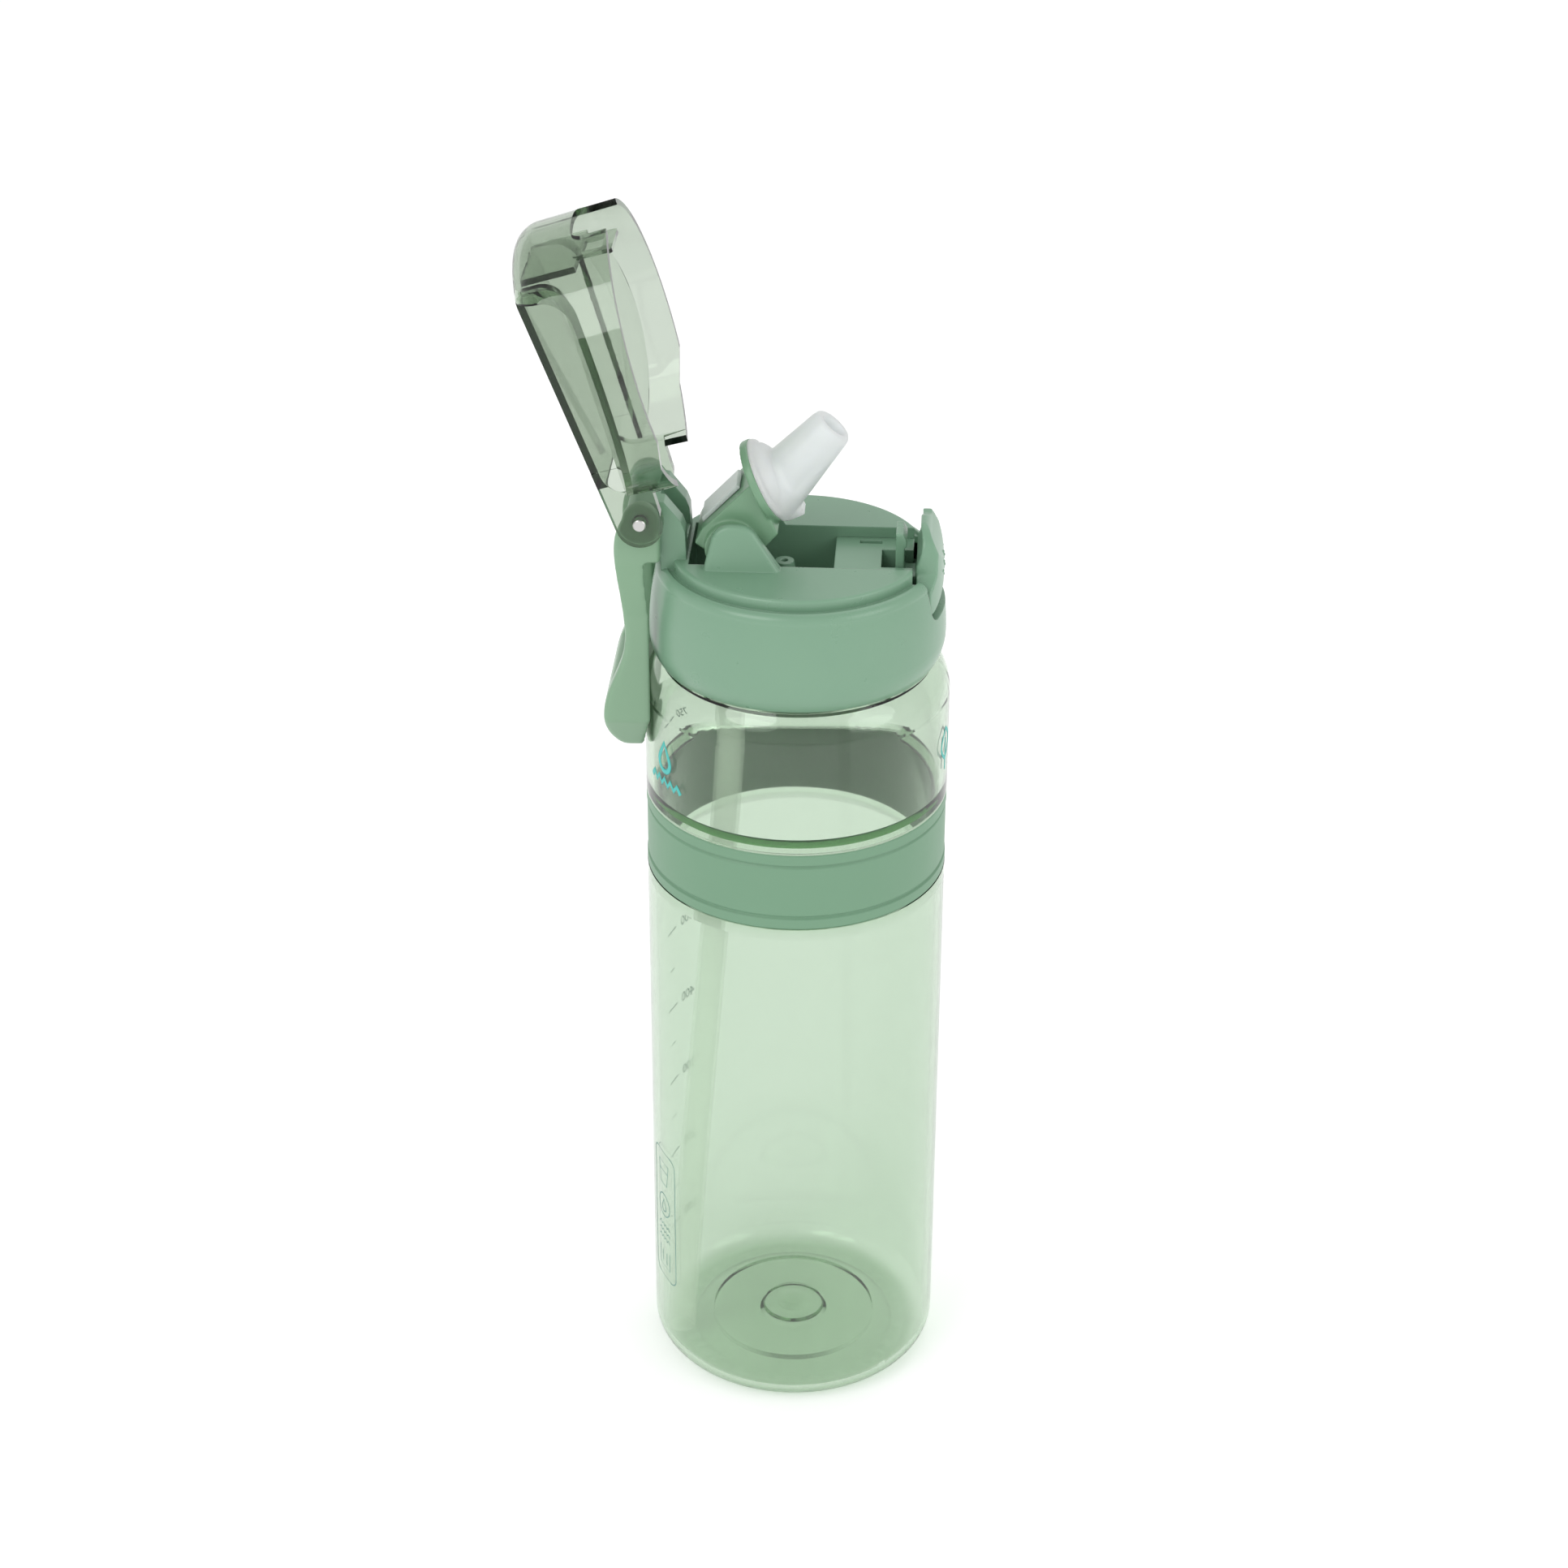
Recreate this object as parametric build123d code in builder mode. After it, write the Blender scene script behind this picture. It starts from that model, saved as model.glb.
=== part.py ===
from build123d import *
import math
import os

os.makedirs("parts", exist_ok=True)

# The bottle stands on Z = 0 with its axis on Z. The latch is at +X and the lid's
# hinge at -X. All sizes are millimetres. The lid is drawn shut and then turned open.

# ---------- driving dimensions ----------
slip = 0.05                 # gap between pieces that are fixed together
body_radius = 39.0
wall = 2.0
base_corner = 7.5           # radius of the rounded bottom edge
shoulder_start = 203.0
shoulder_top = 212.6
shoulder_radius = 35.0
neck_radius = 30.3
neck_bore = 28.2
neck_top = 222.8

band_bottom = 153.0
band_top = 174.8
band_seat_radius = 37.2     # bottom of the groove that the band sits in

thread_pitch = 4.0
thread_turns = 1.25
thread_depth = 1.2
thread_start = 215.0

cap_bottom = 213.2
cap_lip_radius = 35.3
cap_widest = 37.5
cap_widest_height = 220.0
cap_rim = 239.2
deck_radius = 31.9
deck_edge = 0.9             # rounding of the deck's edge
deck_top = 241.7
floor_top = 228.0           # floor of the channel across the cap
floor_bottom = 226.3
channel_half = 12.4
channel_wall = 1.6
channel_back = -26.5

liner_radius = 33.6
liner_bore = 31.9
liner_bottom = 213.9
liner_top = 226.2
liner_plate = 1.6

pin_x = -38.0
pin_height = 253.8
pin_radius = 1.6
turning_gap = 0.06          # radial gap between the pin and what turns on it
bracket_half = 9.8
knuckle_inner = 10.1
knuckle_outer = 13.6
ear_inner = 13.9
ear_outer = 17.2
ear_radius = 5.8

lid_open_angle = 106.3
lid_rim = 240.0
lid_radius = 34.6
lid_front = 36.3            # the front of the lid reaches past its round plan
lid_wall = 1.6
lid_edge = 6.5              # rounding between the lid's top and its side
lid_slope = math.degrees(math.atan(0.0879))
lid_top_at_axis = 263.0     # height of the sloping top over the bottle's axis

spout_x = -16.0
spout_height = 245.5
spout_angle = 49.7
spout_half = 11.5
hub_radius = 6.6
hub_half = 6.8
trunnion_radius = 2.5
trunnion_reach = 13.7
port_radius = 2.2
plug_radius = 4.35          # the mouthpiece's plug inside the spout body
nozzle_length = 38.2
vent_x = -3.4
nozzle_start = 8.0

notch_half = 14.2           # the notch in the cap that the latch stands in
latch_pin_x = 29.9
latch_pin_height = 230.3
latch_pin_radius = 1.0
latch_half = 13.4
latch_neck_half = 10.0      # above the cap, where the latch passes the lid's notch
latch_plan_radius = 30.0
latch_face = 36.6           # furthest reach of the latch from the axis
hook_half = 4.2

housing_back = 9.2
housing_front = 28.8
housing_height = 10.8

straw_radius = 3.75
straw_bore = 2.9


def across_bottle(x, z):
    """A place at (x, z) whose own Z lies along Y, for pins and their holes."""
    return Location((x, 0, z), (90, 0, 0))


def along_spout(distance):
    """A place on the spout's axis, that far from its pivot, whose own Z points out of the spout."""
    turn = math.radians(spout_angle)
    x = spout_x + distance * math.cos(turn)
    z = spout_height + distance * math.sin(turn)
    return Location((x, 0, z), (0, 90 - spout_angle, 0))


# ---------- bottle body ----------
with BuildPart() as bottle_body:
    with BuildSketch(Plane.XZ):
        with BuildLine():
            Polyline((0, 3.4), (8.2, 3.4), (9.4, 2.6), (22.4, 2.4), (27.5, 0), (body_radius - base_corner, 0))
            TangentArc((body_radius - base_corner, 0), (body_radius, base_corner), tangent=(1, 0))
            Polyline(
                (body_radius, base_corner),
                (body_radius, band_bottom),
                (band_seat_radius, band_bottom),
                (band_seat_radius, band_top),
                (body_radius, band_top),
                (body_radius, shoulder_start),
            )
            TangentArc((body_radius, shoulder_start), (shoulder_radius, shoulder_top), tangent=(0, 1))
            Polyline(
                (shoulder_radius, shoulder_top),
                (neck_radius, shoulder_top),
                (neck_radius, neck_top),
                (neck_bore, neck_top),
                (neck_bore, shoulder_top - wall),
                (shoulder_radius - 1.6, shoulder_top - wall),
            )
            TangentArc(
                (body_radius - wall, shoulder_start),
                (shoulder_radius - 1.6, shoulder_top - wall),
                tangent=(0, 1),
            )
            Polyline(
                (body_radius - wall, shoulder_start),
                (body_radius - wall, band_top + 3.8),
                (band_seat_radius - wall, band_top + 0.8),
                (band_seat_radius - wall, band_bottom - 0.8),
                (body_radius - wall, band_bottom - 3.8),
                (body_radius - wall, base_corner),
            )
            TangentArc((body_radius - wall, base_corner), (body_radius - base_corner, wall), tangent=(0, -1))
            Polyline(
                (body_radius - base_corner, wall),
                (28, wall),
                (22.6, 4.6),
                (8.6, 5.0),
                (8.2, 6.0),
                (5, 6.2),
                (2.5, 6.9),
                (0, 7.1),
                (0, 3.4),
            )
        make_face()
    revolve(axis=Axis.Z)
    with BuildLine() as neck_helix:
        Helix(thread_pitch, thread_pitch * thread_turns, neck_radius, center=(0, 0, thread_start))
    with BuildSketch(Plane(neck_helix.line @ 0, x_dir=(1, 0, 0), z_dir=neck_helix.line % 0)):
        with BuildLine():
            Polyline((-0.5, -1.0), (thread_depth, -0.45), (thread_depth, 0.45), (-0.5, 1.0), close=True)
        make_face()
    sweep(path=neck_helix.line, is_frenet=True)

# ---------- grip band ----------
with BuildPart() as grip_band:
    with BuildSketch(Plane.XZ):
        with BuildLine():
            Polyline(
                (band_seat_radius + slip, band_bottom + slip),
                (38.7, band_bottom + slip),
                (38.95, band_bottom + 0.5),
                (38.95, band_bottom + 3.0),
                (38.45, band_bottom + 3.3),
                (38.45, band_bottom + 3.7),
                (38.8, band_bottom + 4.1),
                (38.8, band_top - 4.1),
                (38.45, band_top - 3.7),
                (38.45, band_top - 3.3),
                (38.95, band_top - 3.0),
                (38.95, band_top - 0.5),
                (38.7, band_top - slip),
                (band_seat_radius + slip, band_top - slip),
                close=True,
            )
        make_face()
    revolve(axis=Axis.Z)

# ---------- cap shell ----------
with BuildPart() as cap_outside:
    with BuildSketch(Plane.XZ):
        with BuildLine():
            Line((0, cap_bottom), (cap_lip_radius, cap_bottom))
            TangentArc((cap_widest, cap_widest_height), (cap_lip_radius, cap_bottom), tangent=(0, -1))
            TangentArc((cap_widest, cap_widest_height), (35.6, 236.6), tangent=(0, 1))
            ThreePointArc((35.6, 236.6), (35.05, 238.4), (33.5, cap_rim))
            Polyline(
                (33.5, cap_rim),
                (33.0, 238.6),
                (deck_radius, 238.6),
                (deck_radius, deck_top - deck_edge),
            )
            RadiusArc((deck_radius, deck_top - deck_edge), (deck_radius - deck_edge, deck_top), -deck_edge)
            Polyline((deck_radius - deck_edge, deck_top), (0, deck_top), (0, cap_bottom))
        make_face()
    revolve(axis=Axis.Z)

with BuildPart() as cap_hollow:
    with BuildSketch(Plane.XZ):
        with BuildLine():
            Polyline(
                (0, cap_bottom),
                (liner_radius + slip, cap_bottom),
                (liner_radius + slip, 215.4),
                (35.1, 217.0),
                (35.7, cap_widest_height),
            )
            TangentArc((35.7, cap_widest_height), (33.9, 236.0), tangent=(0, 1))
            Polyline((33.9, 236.0), (33.2, 236.8), (31.2, 236.8), (30.6, 240.0), (0, 240.0), (0, cap_bottom))
        make_face()
    revolve(axis=Axis.Z)
    with BuildSketch(Plane.XY.offset(floor_bottom)):
        with Locations((channel_back - channel_wall, 0)):
            Rectangle(80, 2 * (channel_half + channel_wall), align=(Align.MIN, Align.CENTER))
    extrude(amount=20, mode=Mode.SUBTRACT)

# The hump beside the spout is a wall with a rounded top, which holds the trunnion.
hump_foot = 240.5
hump_top = 252.9
with BuildPart() as spout_hump:
    with BuildSketch(Plane.XZ.offset(channel_half)):
        with BuildLine():
            Polyline((-22.9, hump_foot), (-19.9, hump_top), (-11.4, hump_top), (-2.9, hump_foot), close=True)
        make_face()
    extrude(amount=5)
    with BuildSketch(Plane.YZ.offset(-30)):
        with BuildLine():
            Polyline((-14.3, hump_top), (-16.4, hump_foot), (-20, hump_foot), (-20, hump_top), close=True)
        make_face()
    extrude(amount=40, mode=Mode.SUBTRACT)
    upright_edges = spout_hump.edges().filter_by(
        lambda edge: edge.center().Z > hump_top - 0.1 and abs(edge.tangent_at(0).Y) > 0.9
    )
    fillet(upright_edges, radius=5.0)
    free_edges = spout_hump.edges().filter_by(
        lambda edge: edge.center().Y < -channel_half - 1.0 and edge.center().Z > hump_foot + 0.1
    )
    fillet(free_edges, radius=1.2)

with BuildPart() as hinge_bracket:
    with BuildSketch(Plane.XZ.offset(-bracket_half)):
        with BuildLine():
            Polyline(
                (-27.2, 239.5),
                (-27.2, 243.6),
                (-27.5, 249.2),
                (-28.4, 251.6),
                (-32.6, 256.9),
                (pin_x, pin_height + 3.9),
                (pin_x, pin_height),
                (-38.6, 250.0),
                (-35.6, 245.5),
                (-33.6, 242.0),
                (-33.6, 238.5),
                (-30.0, 237.0),
                close=True,
            )
        make_face()
        with Locations((pin_x, pin_height)):
            Circle(3.9)
    extrude(amount=2 * bracket_half)
    # scooped recess in the middle of the front face
    with BuildSketch(Plane.XZ.offset(-4.6)):
        with BuildLine():
            Polyline((-26, 258.5), (-26, 244.5), (-29.6, 245.2), (-31.2, 249.5), (-34.5, 254.8))
            Polyline((-34.5, 254.8), (-33.4, 258.5), (-26, 258.5))
        make_face()
    extrude(amount=9.2, mode=Mode.SUBTRACT)

with BuildPart() as cap_shell:
    add(cap_outside.part)
    add(cap_hollow.part, mode=Mode.SUBTRACT)
    # channel from the hinge to the latch, and its round-cornered notch through the skirt
    with BuildSketch(Plane.XY.offset(floor_top)):
        with Locations((channel_back, 0)):
            Rectangle(33.5 - channel_back, 2 * channel_half, align=(Align.MIN, Align.CENTER))
    extrude(amount=20, mode=Mode.SUBTRACT)
    with BuildSketch(Plane.YZ.offset(28.8)):
        with Locations((0, floor_top + 10)):
            RectangleRounded(2 * notch_half, 20, radius=3.0)
    extrude(amount=14, mode=Mode.SUBTRACT)
    add(hinge_bracket.part)
    add(spout_hump.part)
    add(spout_hump.part.mirror(Plane.XZ))
    # spout port tower, standing on the channel floor
    with BuildSketch(Plane.XY.offset(floor_top - 0.5)):
        with Locations((spout_x, 0)):
            Circle(6.2)
    extrude(amount=8.5)
    # vent nipple
    with Locations((vent_x, 0, floor_top - 0.3)):
        Cone(3.9, 2.4, 10.0, align=(Align.CENTER, Align.CENTER, Align.MIN))
    with Locations((vent_x, 0, floor_top)):
        Cylinder(0.8, 40, mode=Mode.SUBTRACT)
    # straw adapter socket and port through the tower
    with Locations((spout_x, 0, floor_bottom)):
        Cylinder(port_radius, 40, mode=Mode.SUBTRACT)
    # holes for the spout's trunnions
    with Locations(across_bottle(spout_x, spout_height)):
        Cylinder(trunnion_radius + slip, 2 * (trunnion_reach + 0.2), mode=Mode.SUBTRACT)
    # hinge pin hole
    with Locations(across_bottle(pin_x, pin_height)):
        Cylinder(pin_radius + 0.02, 40, mode=Mode.SUBTRACT)

# ---------- threaded liner inside the cap ----------
with BuildPart() as cap_liner:
    with BuildSketch(Plane.XZ):
        with BuildLine():
            Polyline(
                (0, liner_top),
                (liner_radius, liner_top),
                (liner_radius, liner_bottom),
                (liner_bore, liner_bottom),
                (liner_bore, liner_top - liner_plate),
                (0, liner_top - liner_plate),
                close=True,
            )
        make_face()
    revolve(axis=Axis.Z)
    with BuildLine() as liner_helix:
        Helix(
            thread_pitch,
            thread_pitch * thread_turns,
            liner_bore,
            center=(0, 0, thread_start + thread_pitch / 2),
        )
    with BuildSketch(Plane(liner_helix.line @ 0, x_dir=(1, 0, 0), z_dir=liner_helix.line % 0)):
        with BuildLine():
            Polyline((0.5, -1.0), (-thread_depth, -0.45), (-thread_depth, 0.45), (0.5, 1.0), close=True)
        make_face()
    sweep(path=liner_helix.line, is_frenet=True)
    with Locations((spout_x, 0, liner_top)):
        Cylinder(5.0 + slip, 10, mode=Mode.SUBTRACT)
    with Locations((vent_x, 0, liner_top)):
        Cylinder(1.6 + slip, 10, mode=Mode.SUBTRACT)

# ---------- neck gasket ----------
with BuildPart() as neck_gasket:
    with BuildSketch(Plane.XY.offset(neck_top + slip)):
        Circle(31.6)
        Circle(neck_bore, mode=Mode.SUBTRACT)
    extrude(amount=liner_top - liner_plate - neck_top - 2 * slip)

# ---------- straw adapter ----------
adapter_bottom = 210.0
with BuildPart() as straw_adapter:
    with BuildSketch(Plane.XZ):
        with BuildLine():
            Polyline(
                (port_radius, floor_bottom - slip),
                (5.0, floor_bottom - slip),
                (5.0, liner_top - liner_plate - slip),
                (6.6, liner_top - liner_plate - slip),
                (6.6, 222.6),
                (5.2, 222.0),
                (4.9, adapter_bottom),
                (straw_radius + slip, adapter_bottom),
                (straw_radius + slip, 222.0),
                (port_radius, 222.0),
                close=True,
            )
        make_face()
    revolve(axis=Axis.Z)
straw_adapter.part = straw_adapter.part.moved(Location((spout_x, 0, 0)))

# ---------- straw ----------
straw_route = [
    (spout_x, 0, 221.8),
    (spout_x, 0, 208.0),
    (-17.8, -4.6, 172.0),
    (-22.0, -6.6, 122.0),
    (-27.0, -9.2, 60.0),
    (-30.6, -11.0, 5.0),
]
with BuildPart() as straw:
    with BuildLine() as straw_path:
        FilletPolyline(*straw_route, radius=[60, 120, 200, 200])
    with BuildSketch(Plane(straw_path.line @ 0, z_dir=straw_path.line % 0)):
        Circle(straw_radius)
        Circle(straw_bore, mode=Mode.SUBTRACT)
    sweep(path=straw_path.line)

# ---------- vent valve ----------
with BuildPart() as vent_valve:
    with BuildSketch(Plane.XZ):
        with BuildLine():
            Polyline(
                (0, 219.0),
                (1.2, 219.6),
                (3.0, 222.6),
                (3.0, liner_top - liner_plate - slip),
                (1.6, liner_top - liner_plate - slip),
                (1.6, liner_top - slip),
                (0.6, liner_top - slip),
                (0.6, 221.0),
                (0, 220.4),
                close=True,
            )
        make_face()
    revolve(axis=Axis.Z)
vent_valve.part = vent_valve.part.moved(Location((vent_x, 0, 0)))

# ---------- spout body ----------
flange_plane = Plane(origin=(-8.05, 0, 259.55), x_dir=(0, 1, 0), z_dir=(0.893, 0, 0.449))
flange_wide = 11.4
flange_tall = 10.8
flange_back = 2.0
arm_half = 9.0
with BuildPart() as spout_body:
    with BuildSketch(Plane.XZ.offset(-arm_half)):
        with BuildLine():
            Polyline(
                (-25.2, 245.9),
                (-23.4, 249.6),
                (-11.2, 261.9),
                (-4.5, 248.9),
                (-11.4, 241.0),
                (-20.6, 241.4),
                (-21.4, 243.2),
                close=True,
            )
        make_face()
    extrude(amount=2 * arm_half)
    # round seat for the mouthpiece
    with BuildSketch(flange_plane.offset(-flange_back)):
        Ellipse(flange_wide, flange_tall)
    extrude(amount=flange_back)
    with Locations(across_bottle(spout_x, spout_height)):
        Cylinder(hub_radius, 2 * spout_half)
    # only the round hub passes over the port seal
    with BuildSketch(Plane.XZ.offset(-hub_half)):
        with Locations((spout_x, spout_height)):
            Circle(16)
            Circle(hub_radius, mode=Mode.SUBTRACT)
        with BuildLine():
            Polyline(
                (spout_x, spout_height + 1),
                (spout_x + 20, spout_height + 1),
                (spout_x + 20, spout_height + 30),
                (spout_x - 20, spout_height + 30),
                (spout_x - 20, spout_height - 6),
                (spout_x - 6, spout_height - 5),
                close=True,
            )
        make_face(mode=Mode.SUBTRACT)
    extrude(amount=2 * hub_half, mode=Mode.SUBTRACT)
    # trunnions
    with Locations(across_bottle(spout_x, spout_height)):
        Cylinder(trunnion_radius, 2 * trunnion_reach)
    # the water way: up from the port, then out along the spout
    with Locations((spout_x, 0, spout_height - 6)):
        Cylinder(port_radius, 12, mode=Mode.SUBTRACT)
    with Locations(along_spout(0)):
        Cylinder(port_radius, 40, align=(Align.CENTER, Align.CENTER, Align.MIN), mode=Mode.SUBTRACT)
    with Locations(along_spout(9)):
        Cylinder(plug_radius + slip, 30, align=(Align.CENTER, Align.CENTER, Align.MIN), mode=Mode.SUBTRACT)

# ---------- silicone mouthpiece ----------
with BuildPart() as behind_flange:
    with BuildSketch(Plane.XZ.offset(-20)):
        with BuildLine():
            Polyline((-16.98, 277.36), (3.02, 237.55), (-40, 230), (-40, 280), close=True)
        make_face()
    extrude(amount=40)

flange_lip = 1.2
with BuildPart() as spout_mouthpiece:
    with Locations(along_spout(nozzle_start)):
        Cone(8.8, 5.2, nozzle_length - nozzle_start, align=(Align.CENTER, Align.CENTER, Align.MIN))
    # nothing of the nozzle lies behind the front of the spout body
    add(behind_flange.part, mode=Mode.SUBTRACT)
    # round flange, with a skirt that rises to the nozzle
    with BuildSketch(flange_plane):
        Ellipse(flange_wide - 0.3, flange_tall - 0.3)
    extrude(amount=flange_lip)
    with BuildSketch(flange_plane.offset(flange_lip)):
        Ellipse(flange_wide - 1.0, flange_tall - 1.0)
    with BuildSketch(Plane(along_spout(22.0))):
        Circle(7.0)
    loft()
    # small square foot that closes the vent when the spout is folded
    with BuildSketch(Plane.XZ.offset(-3.2)):
        with BuildLine():
            Polyline((-3.0, 250.0), (-0.4, 250.4), (1.3, 253.4), (-1.9, 255.5), (-4, 252.2), close=True)
        make_face()
    extrude(amount=2 * 3.2)
    add(behind_flange.part, mode=Mode.SUBTRACT)
    # plug into the spout body, and the bore
    with Locations(along_spout(nozzle_start + 1.2)):
        Cylinder(plug_radius, 12, align=(Align.CENTER, Align.CENTER, Align.MIN))
    with Locations(along_spout(0)):
        Cylinder(port_radius + 0.6, 60, align=(Align.CENTER, Align.CENTER, Align.MIN), mode=Mode.SUBTRACT)

# ---------- soft pad on the back of the spout ----------
pad_half = 5.0
with BuildPart() as spout_back_pad:
    with BuildSketch(Plane.XZ.offset(-pad_half)):
        with BuildLine():
            Polyline((-23.3, 249.75), (-23.7, 251.0), (-15.2, 259.9), (-14.0, 259.45), close=True)
        make_face()
    extrude(amount=2 * pad_half)
    fillet(spout_back_pad.faces().sort_by(Axis.Z)[-1].edges(), radius=0.25)

# ---------- port seal under the hub ----------
with BuildPart() as spout_seal:
    with BuildSketch(Plane.XY.offset(floor_top + 8.0 + slip)):
        with Locations((spout_x, 0)):
            Circle(5.0)
            Circle(port_radius, mode=Mode.SUBTRACT)
    extrude(amount=4.4)
    with Locations(across_bottle(spout_x, spout_height)):
        Cylinder(hub_radius + 0.3, 30, mode=Mode.SUBTRACT)

# ---------- hinge pin ----------
with BuildPart() as hinge_pin:
    with BuildSketch(Plane.XZ.offset(-(ear_outer + 0.2))):
        with Locations((pin_x, pin_height)):
            Circle(pin_radius)
    extrude(amount=2 * (ear_outer + 0.2))
    chamfer(hinge_pin.edges(), length=0.25)


# ---------- lid ----------
def lid_top(x, inset=0.0):
    """Height of the lid's sloping top."""
    return lid_top_at_axis - inset + x * math.tan(math.radians(lid_slope))


def lid_form(inset):
    """The closed lid as a solid, with every face moved inwards by inset."""
    with BuildPart() as form:
        with BuildSketch(Plane.XY.offset(lid_rim)):
            Ellipse(lid_front - inset, lid_radius - inset)
            with Locations((-50, 0)):
                Rectangle(100, 100, mode=Mode.SUBTRACT)
            Circle(lid_radius - inset)
        extrude(amount=30, taper=1.5)
        with BuildSketch(Plane.XZ.offset(-60)):
            with BuildLine():
                Polyline((-60, lid_top(-60, inset)), (60, lid_top(60, inset)), (60, 300), (-60, 300))
                Line((-60, 300), (-60, lid_top(-60, inset)))
            make_face()
        extrude(amount=120, mode=Mode.SUBTRACT)
        fillet(form.faces().sort_by(Axis.Z)[-1].edges(), radius=lid_edge - inset)
        # a scoop along each side of the spine
        for side in (1, -1):
            floor = 254.5 - inset
            front = 25.0 + inset
            with BuildSketch(Plane.XZ.offset(side * (17.0 - inset))):
                with BuildLine():
                    Polyline((front - 6, floor), (-60, floor), (-60, 300), (front, 300), (front, floor + 6))
                    TangentArc((front - 6, floor), (front, floor + 6), tangent=(1, 0))
                make_face()
            extrude(amount=30, dir=(0, -side, -0.3), mode=Mode.SUBTRACT)
    return form.part


with BuildPart() as lid:
    add(lid_form(0))
    # the spine runs back to the hinge and ends in two ears
    with BuildSketch(Plane.XZ.offset(-ear_outer)):
        with BuildLine():
            Polyline(
                (-22, lid_rim),
                (-30.0, lid_rim),
                (-30.4, 248.0),
                (pin_x, pin_height - ear_radius),
                (pin_x, lid_top(pin_x)),
                (-22, lid_top(-22)),
                close=True,
            )
        make_face()
        with Locations((pin_x, pin_height)):
            Circle(ear_radius)
    extrude(amount=2 * ear_outer)
    add(lid_form(lid_wall), mode=Mode.SUBTRACT)
    with BuildSketch(Plane.XY.offset(lid_rim - 5)):
        with Locations((-60, 0)):
            Rectangle(33, 2 * ear_inner, align=(Align.MIN, Align.CENTER))
    extrude(amount=60, mode=Mode.SUBTRACT)
    # the back of the rim is higher, so that it swings clear of the deck
    with BuildSketch(Plane.XZ.offset(-60)):
        with BuildLine():
            Polyline((-13, lid_rim), (-21, 242.0), (-60, 242.0), (-60, 230), (-13, 230), close=True)
        make_face()
    extrude(amount=120, mode=Mode.SUBTRACT)
    with Locations(across_bottle(pin_x, pin_height)):
        Cylinder(pin_radius + turning_gap, 60, mode=Mode.SUBTRACT)
    # notch in the front for the latch
    with BuildSketch(Plane.YZ.offset(30)):
        with Locations((0, lid_rim)):
            RectangleRounded(21.5, 18.2, radius=3.0)
    extrude(amount=10, mode=Mode.SUBTRACT)
    # catch: a tongue with a window that the hook enters, hung from a cross wall
    with BuildSketch(Plane.YZ.offset(26.4)):
        with Locations((0, 256.9)):
            Rectangle(2 * 13.5, 14.8)
    extrude(amount=1.5)
    with BuildSketch(Plane.YZ.offset(27.3)):
        with Locations((0, 245.8)):
            RectangleRounded(15, 9.6, radius=1.0)
        with Locations((0, 246.0)):
            Rectangle(9.6, 4.8, mode=Mode.SUBTRACT)
    extrude(amount=1.0)
lid.part = lid.part.rotate(Axis((pin_x, 0, pin_height), (0, 1, 0)), -lid_open_angle)

# ---------- carry handle ----------
handle_bottom = 188.6
with BuildPart() as carry_handle:
    with BuildSketch(Plane.YZ.offset(-52)):
        with BuildLine():
            Polyline(
                (-knuckle_outer, 260),
                (-knuckle_outer, 242),
                (-17.5, 229),
                (-17.5, 200),
                (-11.0, handle_bottom + 1.5),
                (-7.5, handle_bottom),
                (7.5, handle_bottom),
                (11.0, handle_bottom + 1.5),
                (17.5, 200),
                (17.5, 229),
                (knuckle_outer, 242),
                (knuckle_outer, 260),
                close=True,
            )
        make_face()
        with BuildLine():
            Polyline(
                (-knuckle_inner, 262),
                (-knuckle_inner, 241),
                (-12.6, 230),
                (-12.6, 209.6),
                (12.6, 209.6),
                (12.6, 230),
                (knuckle_inner, 241),
                (knuckle_inner, 262),
                close=True,
            )
        make_face(mode=Mode.SUBTRACT)
    extrude(amount=22)
    with BuildSketch(Plane.XZ.offset(-20)):
        with BuildLine():
            Spline(
                (pin_x - 4.6, pin_height),
                (-45.0, 244.5),
                (-43.0, 232.0),
                (-42.9, 218.0),
                (-47.4, 205.5),
                (-46.6, 193.5),
                (-42.0, handle_bottom),
            )
            Polyline(
                (-42.0, handle_bottom),
                (-33.0, handle_bottom),
                (-33.4, 244.0),
                (pin_x + 4.6, pin_height),
                (pin_x - 4.6, pin_height),
            )
        make_face()
        with Locations((pin_x, pin_height)):
            Circle(4.6)
    extrude(amount=40, mode=Mode.INTERSECT)
    with Locations((0, 0, 180)):
        Cylinder(body_radius + 0.8, 62, align=(Align.CENTER, Align.CENTER, Align.MIN), mode=Mode.SUBTRACT)
    with Locations(across_bottle(pin_x, pin_height)):
        Cylinder(pin_radius + turning_gap, 60, mode=Mode.SUBTRACT)

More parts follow.
